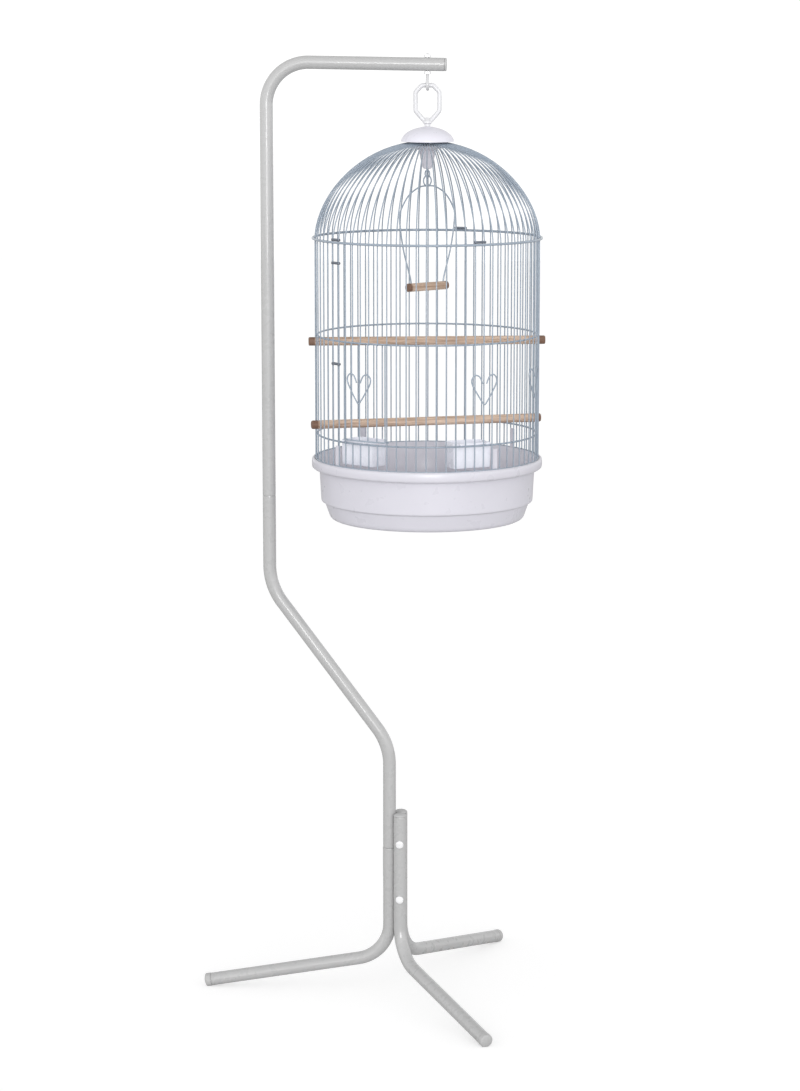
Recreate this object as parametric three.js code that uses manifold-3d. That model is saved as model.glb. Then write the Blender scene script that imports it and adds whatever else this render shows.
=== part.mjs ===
// Round bird cage hanging from a tripod stand of bent steel tube.
// Millimetres, +Z up. The arm points along +X, and the cage hangs under its end.
import * as THREE from "three";
import { mergeVertices } from "three/addons/utils/BufferGeometryUtils.js";
import Module from "manifold-3d";

const wasm = await Module();
wasm.setup();

// ---- Driving dimensions -------------------------------------------------------------------------
const GAP = 0.3; // air left between pieces that touch

const TUBE_R = 9.5; // 19 mm steel tube
const TUBE_BORE_R = 8.3;
const TUBE_SIDES = 12;
const ARM_Z = 1368; // centreline of the arm at its end
const ARM_DROP = 4; // the arm falls a little towards its end
const ARM_END_X = 68;
const ARM_BEND_R = 60;
const POLE_X = -186.5; // the upright beside the cage
const UPPER_JOINT_Z = 747;
const OFFSET_TOP_Z = 613; // corners of the slanted stretch
const OFFSET_FOOT_Z = 376;
const OFFSET_BEND_R = 92;
const LOWER_JOINT_Z = 220;
const POST_X = -10.8; // the lowest upright, which is also the left leg

const LEG_REACH = 268; // from a leg's upright to its tube end
const LEG_BEND_R = 55;
const LEG_SLOPE = THREE.MathUtils.degToRad(9.6);
const LEG_END_Z = 9.8;
const LEG_TOP_Z = 270;
const SIDE_LEG_X = 5.6;
const SIDE_LEG_Y = 11.2;
const SIDE_LEG_TURN = Math.PI / 3;
const BOLT_ZS = { upper: 229.5, lower: 145 };
const BOLT_R = 3;

const CAGE_X = 44; // axis of the hanging cage
const CAGE_TURN = THREE.MathUtils.degToRad(4);
const WIRE_COUNT = 72;
const WIRE_STEP = (2 * Math.PI) / WIRE_COUNT;
const FIRST_WIRE = THREE.MathUtils.degToRad(-1.25);
const WIRE = 2; // wire diameter
const CAGE_R = 161; // centreline of the upright wires
const PANEL_WIRES = 9;
const PANEL_COUNT = WIRE_COUNT / PANEL_WIRES;
const BASE_RING_Z = 806;
const LOWER_RING_Z = 841.5;
const MID_RING_Z = 984;
const TOP_RING_Z = 1120.5;
const RING_H = 2.6;
const DOME_BASE_Z = 1123;
const DOME_RISE = 137;
const DOME_POWER = 1.143; // above 1 draws the shoulder in from a plain ellipse
const DOME_COLLAR_R = 27;
const DOME_HOOP = { ringR: 164.9, wireR: 1.8 };
const INNER_RING = { ringR: 158.2, wireR: 1.3 };

const DOOR_CENTRE = THREE.MathUtils.degToRad(-33.75);
const DOOR_GAPS = 5; // the doorway is five wire gaps wide
const DOOR_R = CAGE_R + 2.6;
const DOOR_FOOT_Z = 846;
const DOOR_HEAD_Z = 986;

const HEART_Z = 922;
const HEART_ANGLES = {
  heart_right: THREE.MathUtils.degToRad(28.75),
  heart_far_right: THREE.MathUtils.degToRad(68.75),
};

const CUP_ANGLES = {
  left: THREE.MathUtils.degToRad(-41.25),
  right: THREE.MathUtils.degToRad(23.75),
};
const CUP = { width: 58, depth: 38, height: 36, wall: 1.8, back: 152.5, top: 845.1 };

const PERCH_R = 6.2;
const PERCH_END = 171; // from the cage's axis
const MID_PERCH = { z: 975, angle: THREE.MathUtils.degToRad(-86.25) };
const LOWER_PERCH = { z: 858, angle: THREE.MathUtils.degToRad(-76.25) };

const CAP_RIM_Z = 1259.5;
const CLAMP_FOOT_Z = CAP_RIM_Z - 38.5;
const HANGER = { barR: 3.3, halfWidth: 17, topZ: 1339, footZ: 1289, stemR: 4.2, stemFootZ: 1244 };
const HOOK_WIRE_R = 2.25;
const HOOK_BOWL_R = 7.5;
const HOOK_BOWL_Z = HANGER.topZ - HANGER.barR - GAP - HOOK_WIRE_R + HOOK_BOWL_R;

const EYE = { wireR: 1, ringR: 5, z: CLAMP_FOOT_Z - 7 };
const SWING = {
  turn: THREE.MathUtils.degToRad(40),
  perchZ: 1053,
  perchHalf: 37.5,
  shoulder: 52,
  shoulderZ: 1150,
};
const SWING_PIVOT_Z = EYE.z - EYE.ringR + 2 * EYE.wireR + GAP;
const SWING_RING_R = 7.3;

// ---- Finishes ------------------------------------------------------------------------------------
function finish(color, roughness, metalness) {
  return new THREE.MeshStandardMaterial({ color, roughness, metalness });
}

const GREY_PAINT = finish(0xb9b9b9, 0.4, 0.3);
const WHITE_PLASTIC = finish(0xe9e8ee, 0.35, 0);
const GREY_PLASTIC = finish(0xb4b4b4, 0.5, 0);
const WHITE_WIRE = finish(0xd2dfec, 0.35, 0.2);
const ZINC = finish(0xd8d8da, 0.3, 0.9);
const WOOD = finish(0xc99a72, 0.65, 0);

// ---- Helpers -------------------------------------------------------------------------------------
const vec = (x, y, z) => new THREE.Vector3(x, y, z);

function named(name, geometry, material) {
  const mesh = new THREE.Mesh(geometry, material);
  mesh.name = name;
  return mesh;
}

function toSolid(geometry) {
  const bare = geometry.clone();
  bare.deleteAttribute("normal");
  bare.deleteAttribute("uv");
  const merged = mergeVertices(bare, 1e-3);
  return new wasm.Manifold(
    new wasm.Mesh({
      numProp: 3,
      vertProperties: merged.attributes.position.array,
      triVerts: new Uint32Array(merged.index.array),
    }),
  );
}

function toGeometry(solid) {
  const mesh = solid.getMesh();
  const geometry = new THREE.BufferGeometry();
  geometry.setAttribute("position", new THREE.BufferAttribute(mesh.vertProperties, 3));
  geometry.setIndex(new THREE.BufferAttribute(mesh.triVerts, 1));
  return geometry;
}

function cut(geometry, ...tools) {
  return toGeometry(tools.reduce((solid, tool) => solid.subtract(toSolid(tool)), toSolid(geometry)));
}

function join(geometry, ...others) {
  return toGeometry(others.reduce((solid, other) => solid.add(toSolid(other)), toSolid(geometry)));
}

function circlePoints(radius, sides) {
  return Array.from({ length: sides }, (_, i) => {
    const a = ((i + 0.5) / sides) * 2 * Math.PI;
    return new THREE.Vector2(radius * Math.cos(a), radius * Math.sin(a));
  });
}

// The corner radius of a many-sided hole that clears a round bar.
const clearing = (radius, sides) => (radius + GAP) / Math.cos(Math.PI / sides);

// A path through chosen stations, so a straight stretch takes one step and a bend several.
class StationPath extends THREE.Curve {
  constructor(stations) {
    super();
    this.stations = stations;
  }
  getPoint(t) {
    const at = Math.min(Math.max(t, 0), 1) * (this.stations.length - 1);
    const i = Math.min(Math.floor(at), this.stations.length - 2);
    return this.stations[i].clone().lerp(this.stations[i + 1], at - i);
  }
  getUtoTmapping(u) {
    return u;
  }
}

// A round bar or, with a bore, a tube, swept through stations.
function sweep(stations, radius, sides, bore = 0) {
  const section = new THREE.Shape(circlePoints(radius, sides));
  if (bore) section.holes.push(new THREE.Path(circlePoints(bore, sides)));
  const extrudePath = new StationPath(stations);
  return new THREE.ExtrudeGeometry(section, { steps: stations.length - 1, extrudePath });
}

// Stations of a line with rounded corners: each corner is { at, r }, and the ends are plain points.
function rounded(start, corners, end, arcSteps) {
  const stations = [start];
  corners.forEach(({ at, r }, i) => {
    const before = i ? corners[i - 1].at : start;
    const after = i < corners.length - 1 ? corners[i + 1].at : end;
    const inward = before.clone().sub(at).normalize();
    const outward = after.clone().sub(at).normalize();
    const half = inward.angleTo(outward) / 2;
    const bisector = inward.clone().add(outward).normalize();
    const centre = at.clone().addScaledVector(bisector, r / Math.sin(half));
    const first = at.clone().addScaledVector(inward, r / Math.tan(half)).sub(centre);
    const last = at.clone().addScaledVector(outward, r / Math.tan(half)).sub(centre);
    const turn = Math.PI - 2 * half;
    for (let k = 0; k <= arcSteps; k++) {
      const a = Math.sin((1 - k / arcSteps) * turn) / Math.sin(turn);
      const b = Math.sin((k / arcSteps) * turn) / Math.sin(turn);
      stations.push(centre.clone().addScaledVector(first, a).addScaledVector(last, b));
    }
  });
  stations.push(end);
  return stations;
}

// An upright cylinder between two heights.
function post(radius, fromZ, toZ, sides = 16) {
  return new THREE.CylinderGeometry(radius, radius, toZ - fromZ, sides)
    .rotateX(Math.PI / 2)
    .translate(0, 0, (fromZ + toZ) / 2);
}

// A cylinder along Y between two places.
function crossBar(radius, fromY, toY, sides = 12) {
  return new THREE.CylinderGeometry(radius, radius, toY - fromY, sides).translate(0, (fromY + toY) / 2, 0);
}

function tubeSleeve(outer, inner, fromZ, toZ, sides = TUBE_SIDES) {
  return sweep([vec(0, 0, fromZ), vec(0, 0, toZ)], outer, sides, inner);
}

// A turned piece about Z: its profile is a list of [radius, height].
function turned(profile, segments) {
  const points = profile.map(([r, z]) => new THREE.Vector2(r, z));
  return new THREE.LatheGeometry(points, segments).rotateX(Math.PI / 2);
}

// A welded wire grid as one closed skin. Columns and rows alternate between bars and the gaps
// between them, place(c, r, outer) gives a corner of the grid, and filled(c, r) says where there is metal.
function wireGrid(columns, rows, filled, place) {
  const positions = [];
  const quad = (a, b, c, d) => [a, b, c, a, c, d].forEach((p) => positions.push(p.x, p.y, p.z));
  const solid = (c, r) => c >= 0 && r >= 0 && c < columns && r < rows && filled(c, r);
  for (let c = 0; c < columns; c++) {
    for (let r = 0; r < rows; r++) {
      if (!solid(c, r)) continue;
      const at = (dc, dr, outer) => place(c + dc, r + dr, outer);
      quad(at(0, 0, 1), at(1, 0, 1), at(1, 1, 1), at(0, 1, 1));
      quad(at(0, 0, 0), at(0, 1, 0), at(1, 1, 0), at(1, 0, 0));
      if (!solid(c - 1, r)) quad(at(0, 0, 0), at(0, 0, 1), at(0, 1, 1), at(0, 1, 0));
      if (!solid(c + 1, r)) quad(at(1, 0, 1), at(1, 0, 0), at(1, 1, 0), at(1, 1, 1));
      if (!solid(c, r - 1)) quad(at(0, 0, 0), at(1, 0, 0), at(1, 0, 1), at(0, 0, 1));
      if (!solid(c, r + 1)) quad(at(0, 1, 1), at(1, 1, 1), at(1, 1, 0), at(0, 1, 0));
    }
  }
  const geometry = new THREE.BufferGeometry();
  geometry.setAttribute("position", new THREE.Float32BufferAttribute(positions, 3));
  return mergeVertices(geometry, 1e-4);
}

// A place on the cage: angle 0 faces -Y and turns towards +X.
const around = (angle, radius, z) => vec(radius * Math.sin(angle), -radius * Math.cos(angle), z);

// ---- Stand ---------------------------------------------------------------------------------------
function armTube() {
  const stations = rounded(
    vec(POLE_X, 0, UPPER_JOINT_Z),
    [{ at: vec(POLE_X, 0, ARM_Z + ARM_DROP), r: ARM_BEND_R }],
    vec(ARM_END_X, 0, ARM_Z),
    6,
  );
  const shankHole = post(clearing(HOOK_WIRE_R, 12), ARM_Z - 20, ARM_Z + 20, 12).translate(CAGE_X, 0, 0);
  return named("arm_tube", cut(sweep(stations, TUBE_R, TUBE_SIDES, TUBE_BORE_R), shankHole), GREY_PAINT);
}

function offsetTube() {
  const stations = rounded(
    vec(POLE_X, 0, UPPER_JOINT_Z - GAP),
    [
      { at: vec(POLE_X, 0, OFFSET_TOP_Z), r: OFFSET_BEND_R },
      { at: vec(POST_X, 0, OFFSET_FOOT_Z), r: OFFSET_BEND_R },
    ],
    vec(POST_X, 0, LOWER_JOINT_Z),
    3,
  );
  return named("offset_tube", sweep(stations, TUBE_R, TUBE_SIDES, TUBE_BORE_R), GREY_PAINT);
}

// A leg: an upright that bends outwards and slopes down to its foot, along +X before it is turned.
function legStations(topZ) {
  const corner = vec(0, 0, LEG_END_Z + LEG_REACH * Math.tan(LEG_SLOPE));
  const end = vec(LEG_REACH, 0, LEG_END_Z);
  return rounded(vec(0, 0, topZ), [{ at: corner, r: LEG_BEND_R }], end, 5);
}

function placeLeg(object, x, y, turn) {
  object.position.set(x, y, 0);
  object.rotation.z = turn;
  return object;
}

// A domed plug pushed into the end of a leg, with a flat worn where it meets the floor.
function footPlug(name) {
  const insert = [[0, -14], [TUBE_BORE_R - GAP, -14], [TUBE_BORE_R - GAP, GAP]];
  const dome = [[9.9, GAP], [9.9, 7], [7, 10], [0, 11.5]];
  const plug = turned([...insert, ...dome], 12)
    .rotateY(Math.PI / 2 + LEG_SLOPE)
    .translate(LEG_REACH, 0, LEG_END_Z);
  const floor = new THREE.BoxGeometry(80, 80, 40).translate(LEG_REACH, 0, -20);
  return named(name, cut(plug, floor), GREY_PLASTIC);
}

function topPlug(name) {
  const insert = [[0, -12], [TUBE_BORE_R - GAP, -12], [TUBE_BORE_R - GAP, 0]];
  const dome = [[TUBE_R, 0], [TUBE_R, 1.5], [6, 4], [0, 4.6]];
  const plug = turned([...insert, ...dome], 12).translate(0, 0, LEG_TOP_Z + GAP);
  return named(name, plug, GREY_PLASTIC);
}

function legs() {
  const boltTool = crossBar(clearing(BOLT_R, 8), -40, 40, 8);
  const boltTools = Object.values(BOLT_ZS).map((z) => boltTool.clone().translate(0, 0, z));
  const sideLeg = (name, side) => {
    const turn = side * SIDE_LEG_TURN;
    const tools = boltTools.map((tool) => tool.clone().rotateZ(-turn));
    const tube = sweep(legStations(LEG_TOP_Z), TUBE_R, TUBE_SIDES, TUBE_BORE_R);
    return placeLeg(named(name, cut(tube, ...tools), GREY_PAINT), SIDE_LEG_X, side * SIDE_LEG_Y, turn);
  };
  const leftTube = sweep(legStations(LOWER_JOINT_Z - GAP), TUBE_R, TUBE_SIDES, TUBE_BORE_R);
  return [
    placeLeg(named("leg_tube_left", leftTube, GREY_PAINT), POST_X, 0, Math.PI),
    sideLeg("leg_tube_front", -1),
    sideLeg("leg_tube_back", 1),
    placeLeg(footPlug("foot_plug_left"), POST_X, 0, Math.PI),
    placeLeg(footPlug("foot_plug_front"), SIDE_LEG_X, -SIDE_LEG_Y, -SIDE_LEG_TURN),
    placeLeg(footPlug("foot_plug_back"), SIDE_LEG_X, SIDE_LEG_Y, SIDE_LEG_TURN),
    placeLeg(topPlug("top_plug_front"), SIDE_LEG_X, -SIDE_LEG_Y, 0),
    placeLeg(topPlug("top_plug_back"), SIDE_LEG_X, SIDE_LEG_Y, 0),
  ];
}

// A short sleeve inside two tube ends.
function jointSleeve(name, x, z) {
  const sleeve = named(name, tubeSleeve(TUBE_BORE_R - GAP, 6.8, z - 35, z + 35), ZINC);
  sleeve.position.x = x;
  return sleeve;
}

// A tab on the post, a bolt through both side legs and the tab, and its dome nut.
function legJoint(level) {
  const z = BOLT_ZS[level];
  const tabStart = POST_X + TUBE_R + GAP;
  const tabEnd = 13;
  const tab = new THREE.BoxGeometry(tabEnd - tabStart, 2.6, 26).translate((tabStart + tabEnd) / 2, 0, z);
  const hole = crossBar(clearing(BOLT_R, 8), -10, 10, 8).translate(SIDE_LEG_X, 0, z);
  const outside = SIDE_LEG_Y + TUBE_R + GAP;
  const head = turned([[0, 0], [5, 0], [5, 1.2], [3.6, 3.2], [0, 4]], 12).rotateX(Math.PI / 2);
  const shank = crossBar(BOLT_R, -outside - 1, outside + 3.5, 8);
  const bolt = join(head.translate(0, -outside, 0), shank).translate(SIDE_LEG_X, 0, z);
  const bore = clearing(BOLT_R, 6);
  const nutOutside = [[bore, 0], [5.4, 0], [5.4, 4], [4, 6.5], [0, 7.5]];
  const nutInside = [[0, 4.2], [bore, 4.2], [bore, 0]];
  const domeNut = turned([...nutOutside, ...nutInside], 6).rotateX(-Math.PI / 2);
  const nut = domeNut.translate(SIDE_LEG_X, outside, z);
  return [
    named(`leg_tab_${level}`, cut(tab, hole), GREY_PAINT),
    named(`leg_bolt_${level}`, bolt, ZINC),
    named(`leg_nut_${level}`, nut, ZINC),
  ];
}

function armPlug() {
  const insert = [[0, -12], [TUBE_BORE_R - GAP, -12], [TUBE_BORE_R - GAP, GAP]];
  const face = [[TUBE_R, GAP], [TUBE_R, 2], [8.5, 3], [0, 3]];
  const slope = Math.atan2(ARM_DROP, ARM_END_X - POLE_X);
  const plug = turned([...insert, ...face], 12).rotateY(Math.PI / 2 + slope);
  return named("arm_end_plug", plug.translate(ARM_END_X, 0, ARM_Z), GREY_PLASTIC);
}

// The hook under the arm: its shank goes up through the tube, between two nuts.
function standHook() {
  const stations = [vec(0, 0, ARM_Z + 16), vec(0, 0, HOOK_BOWL_Z + 11)];
  stations.push(vec(0, -3.4, HOOK_BOWL_Z + 7.2));
  const bowlSteps = 8;
  const bowlSweep = THREE.MathUtils.degToRad(185);
  for (let i = 0; i <= bowlSteps; i++) {
    const a = (i / bowlSteps) * bowlSweep;
    stations.push(vec(0, -HOOK_BOWL_R * Math.cos(a), HOOK_BOWL_Z - HOOK_BOWL_R * Math.sin(a)));
  }
  const hook = named("stand_hook", sweep(stations, HOOK_WIRE_R, 8), WHITE_WIRE);
  hook.position.x = CAGE_X;
  return hook;
}

function hookNut(name, fromZ, toZ) {
  const nut = named(name, tubeSleeve(5, clearing(HOOK_WIRE_R, 6), fromZ, toZ, 6), ZINC);
  nut.position.x = CAGE_X;
  return nut;
}

function stand() {
  const group = new THREE.Group();
  group.add(armTube(), offsetTube(), ...legs(), armPlug(), standHook());
  group.add(jointSleeve("upper_joint_sleeve", POLE_X, UPPER_JOINT_Z));
  group.add(jointSleeve("lower_joint_sleeve", POST_X, LOWER_JOINT_Z));
  group.add(...legJoint("upper"), ...legJoint("lower"));
  const nutHeight = 3.5;
  const armTop = ARM_Z + TUBE_R + 2 * GAP + 0.2;
  const armFoot = ARM_Z - TUBE_R - GAP;
  group.add(hookNut("hook_nut_top", armTop, armTop + nutHeight));
  group.add(hookNut("hook_nut_under", armFoot - nutHeight, armFoot));
  return group;
}

// ---- Hanger: the loop on top of the cage ---------------------------------------------------------
function hangerLoop() {
  const { barR, halfWidth, topZ, footZ, stemR, stemFootZ } = HANGER;
  const side = (s) => [
    vec(s * 2, 0, footZ - 5),
    vec(s * 3, 0, footZ),
    vec(s * halfWidth, 0, footZ + 14),
    vec(s * halfWidth, 0, topZ - 12),
    vec(s * 14.5, 0, topZ - 5),
    vec(s * 8, 0, topZ),
  ];
  const loop = sweep([...side(-1), ...side(1).reverse()], barR, 6);
  const stem = post(stemR, stemFootZ, footZ + 2, 8);
  const collar = post(7, footZ - 3.5, footZ + 1, 12);
  return named("hanger_loop", join(loop, stem, collar), WHITE_PLASTIC);
}

function stemNut() {
  const foot = CAP_RIM_Z - 12.5;
  return named("stem_nut", tubeSleeve(8, clearing(HANGER.stemR, 6), foot, foot + 7, 6), ZINC);
}

// ---- Cage ----------------------------------------------------------------------------------------
function topCap() {
  const bore = clearing(HANGER.stemR, 18);
  const outer = [[38, 0], [36.8, 4], [30, 12.1], [20, 18.3], [8, 21.1]];
  const inner = [[8, 18.7], [19, 15.8], [28.2, 10.1], [35.6, 0]];
  const bossFoot = [bore, -5.2];
  const profile = [bossFoot, [7.6, -5.2], ...inner, ...outer, [bore, 21.1], bossFoot];
  return named("top_cap", turned(profile, 18).translate(0, 0, CAP_RIM_Z), WHITE_PLASTIC);
}

// The disc that clamps the wire ends from below, with the hollow boss that carries the swing.
function clampBoss() {
  const outer = [[0, 0], [6, 0], [7.5, 3], [12, 26], [33, 31.2], [33, 33.4]];
  const inner = [[12, 33.4], [9.5, 25.5], [6.6, 8], [0, 7]];
  return named("clamp_boss", turned([...outer, ...inner], 16).translate(0, 0, CLAMP_FOOT_Z), WHITE_PLASTIC);
}

// A point of the dome, moved off the wires' centreline by a little.
function domePoint(angle, tilt, off) {
  const z = DOME_BASE_Z + DOME_RISE * Math.sin(tilt) ** DOME_POWER;
  return around(angle, (CAGE_R + off) * Math.cos(tilt), z + off * Math.sin(tilt));
}

const wireAngle = (index) => FIRST_WIRE + index * WIRE_STEP;

// The angle of grid line c of a panel that starts at a wire: even lines begin a wire, odd ones end it.
function gridAngle(firstWire, c, radius) {
  const centre = wireAngle(firstWire + Math.floor(c / 2));
  return centre + ((c % 2 ? 1 : -1) * WIRE) / 2 / radius;
}

// The tilts at which the dome's grid has a line: the foot, the bends, and both edges of the collar.
const collarTilt = (radius) => Math.acos(radius / CAGE_R);
const DOME_TILTS = [0, 0.34, 0.64, 0.92, 1.17, collarTilt(DOME_COLLAR_R), collarTilt(DOME_COLLAR_R - 3)];

function domePanel(name, firstWire) {
  const columns = 2 * PANEL_WIRES - 1;
  const rows = DOME_TILTS.length - 1;
  const filled = (c, r) => c % 2 === 0 || r === rows - 1;
  const place = (c, r, outer) => {
    const tilt = DOME_TILTS[r];
    const angle = gridAngle(firstWire, c, CAGE_R * Math.cos(tilt));
    return domePoint(angle, tilt, outer ? WIRE / 2 : -WIRE / 2);
  };
  return named(name, wireGrid(columns, rows, filled, place), WHITE_WIRE);
}

// A wall panel: upright wires joined by a bar at the foot and one at the head. In the doorway the
// wires stop at the lower ring and start again at the middle ring.
function wallPanel(name, firstWire, hasDoorway) {
  const half = RING_H / 2;
  const edges = [BASE_RING_Z - half, BASE_RING_Z + half, TOP_RING_Z - half, TOP_RING_Z + half];
  if (hasDoorway) edges.splice(2, 0, LOWER_RING_Z + half, MID_RING_Z - half);
  const columns = 2 * PANEL_WIRES - 1;
  const rows = edges.length - 1;
  const inDoorway = (c, r) => {
    if (!hasDoorway || r !== 2) return false;
    return Math.abs(wireAngle(firstWire + c / 2) - DOOR_CENTRE) < (DOOR_GAPS / 2 - 0.1) * WIRE_STEP;
  };
  const filled = (c, r) => r === 0 || r === rows - 1 || (c % 2 === 0 && !inDoorway(c, r));
  const place = (c, r, outer) => {
    const radius = CAGE_R + (outer ? WIRE / 2 : -WIRE / 2);
    return around(gridAngle(firstWire, c, CAGE_R), radius, edges[r]);
  };
  return named(name, wireGrid(columns, rows, filled, place), WHITE_WIRE);
}

// Wires -10 to -2 make the panel with the doorway, and the others follow round.
function wirePanels() {
  const doorwayPanelStart = -10;
  const panels = [];
  for (let i = 0; i < PANEL_COUNT; i++) {
    const firstWire = doorwayPanelStart + i * PANEL_WIRES;
    const wallName = i ? `wall_panel_${i}` : "doorway_panel";
    panels.push(wallPanel(wallName, firstWire, i === 0), domePanel(`dome_panel_${i + 1}`, firstWire));
  }
  return panels;
}

// The stout hoop round the foot of the dome, and the two rings welded inside the upright wires.
function rings() {
  const ring = (name, { ringR, wireR }, z) =>
    named(name, new THREE.TorusGeometry(ringR, wireR, 4, 36).translate(0, 0, z), WHITE_WIRE);
  return [
    ring("dome_hoop", DOME_HOOP, DOME_BASE_Z),
    ring("middle_ring", INNER_RING, MID_RING_Z),
    ring("lower_ring", INNER_RING, LOWER_RING_Z),
  ];
}

// A wire heart lying on the cage: two curled ends, two lobes and a point at the foot.
function heart(name, angle, radius) {
  const half = [[3.2, 7], [5.5, 13], [9, 18], [15, 19.5], [20, 14], [19, 6], [12, -6], [4, -18]];
  const on = ([x, h]) => around(angle + x / radius, radius, HEART_Z + h);
  const right = half.map(on);
  const left = half.map(([x, h]) => on([-x, h]));
  const stations = [...left, on([0, -22]), ...right.reverse()];
  return named(name, sweep(stations, WIRE / 2, 4), WHITE_WIRE);
}

// A perch: a dowel along a diameter, slotted at both ends to straddle a wire.
function perch(name, { z, angle }) {
  const dowel = crossBar(PERCH_R, -PERCH_END, PERCH_END, 12);
  const slotDepth = PERCH_END - CAGE_R + 4;
  const slots = [-1, 1].map((s) =>
    new THREE.BoxGeometry(WIRE + 2 * GAP, 2 * slotDepth, 40).translate(0, s * (PERCH_END + 2), 0),
  );
  return named(name, cut(dowel, ...slots).rotateZ(angle).translate(0, 0, z), WOOD);
}

function swingEye() {
  const { wireR, ringR, z } = EYE;
  const ring = new THREE.TorusGeometry(ringR, wireR, 5, 14).rotateX(Math.PI / 2).rotateZ(Math.PI / 2);
  const stalk = post(1.3, ringR - 0.6, CLAMP_FOOT_Z - GAP - z, 8);
  return named("swing_eye", join(ring, stalk).rotateZ(SWING.turn).translate(0, 0, z), WHITE_WIRE);
}

function cageBody() {
  const group = new THREE.Group();
  group.add(topCap(), clampBoss(), ...wirePanels(), ...rings(), swingEye());
  group.add(perch("middle_perch", MID_PERCH), perch("lower_perch", LOWER_PERCH));
  const onWall = CAGE_R + WIRE + GAP;
  for (const [name, angle] of Object.entries(HEART_ANGLES)) {
    group.add(heart(name, angle, onWall));
  }
  return group;
}

// ---- Tray ----------------------------------------------------------------------------------------
// The tray, with four upright lugs on its rim, just inside the wires, that grip the base ring.
function tray() {
  const side = [[0, 717], [135, 717], [141, 720.5], [149, 742], [153.5, 744], [156, 791.5]];
  const rim = [[164, 791.5], [167, 795], [167, 803], [164.5, 806.5], [163, 806.5]];
  const groove = [[163, 803.8], [159, 803.8], [159, 806.5], [157.3, 806.5]];
  const inside = [[153.2, 801], [151, 746], [146.5, 743.5], [139.5, 722.5], [134, 720], [0, 720]];
  const lugAngle = (n) => wireAngle(-10) - WIRE_STEP / 2 + (n * Math.PI) / 2;
  const lugs = [0, 1, 2, 3].map((n) =>
    new THREE.BoxGeometry(9, 2, 31).translate(0, -CAGE_R + 2.5, 819.5).rotateZ(lugAngle(n)),
  );
  const pan = turned([...side, ...rim, ...groove, ...inside], 36);
  return named("tray", join(pan, ...lugs), WHITE_PLASTIC);
}

// ---- Door ----------------------------------------------------------------------------------------
// A lift-up door outside the wall: two stiles, four wires, two rails, and guides on the bottom rail.
function door() {
  const wires = DOOR_GAPS + 1;
  const inset = 1.6 / DOOR_R;
  const firstAngle = DOOR_CENTRE - (DOOR_GAPS / 2) * WIRE_STEP;
  const guide = 6 / DOOR_R;
  const lines = [firstAngle - guide];
  for (let i = 0; i < wires; i++) {
    const pull = i === 0 ? inset : i === wires - 1 ? -inset : 0;
    const centre = firstAngle + i * WIRE_STEP + pull;
    lines.push(centre - WIRE / 2 / DOOR_R, centre + WIRE / 2 / DOOR_R);
  }
  lines.push(firstAngle + DOOR_GAPS * WIRE_STEP + guide);
  const heights = [DOOR_FOOT_Z, DOOR_FOOT_Z + WIRE, DOOR_HEAD_Z - WIRE, DOOR_HEAD_Z];
  const columns = lines.length - 1;
  const inside = (c) => c > 0 && c < columns - 1;
  const filled = (c, r) => (inside(c) ? c % 2 === 1 || r % 2 === 0 : r === 0);
  const place = (c, r, outer) => around(lines[c], DOOR_R + (outer ? WIRE / 2 : -WIRE / 2), heights[r]);
  const group = new THREE.Group();
  group.add(named("door", wireGrid(columns, heights.length - 1, filled, place), WHITE_WIRE));
  group.add(heart("door_heart", DOOR_CENTRE - WIRE_STEP / 2, DOOR_R + WIRE + GAP));
  return group;
}

// ---- Feeder cups ---------------------------------------------------------------------------------
function feederCup(name, angle) {
  const { width, depth, height, wall, back, top } = CUP;
  const outline = (w, d, r) => {
    const shape = new THREE.Shape();
    shape.moveTo(-w / 2, 0).lineTo(w / 2, 0).lineTo(w / 2, d - r);
    shape.absarc(w / 2 - r, d - r, r, 0, Math.PI / 2, false);
    shape.absarc(-w / 2 + r, d - r, r, Math.PI / 2, Math.PI, false);
    return shape;
  };
  const block = (w, d, r, h) => {
    const options = { depth: h, bevelEnabled: false, curveSegments: 3 };
    return new THREE.ExtrudeGeometry(outline(w, d, r), options);
  };
  const hollow = block(width - 2 * wall, depth - 2 * wall, 12 - wall, height).translate(0, wall, wall);
  const reach = INNER_RING.ringR + 2 - back;
  const tabs = [-1.5, 1.5].map((gaps) => {
    const tab = new THREE.BoxGeometry(4, reach + 6, 2);
    return tab.translate(gaps * WIRE_STEP * back, 3 - reach / 2, height - 1);
  });
  const cup = join(cut(block(width, depth, 12, height), hollow), ...tabs);
  return named(name, cup.translate(0, -back, top - height).rotateZ(angle), WHITE_PLASTIC);
}

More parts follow.
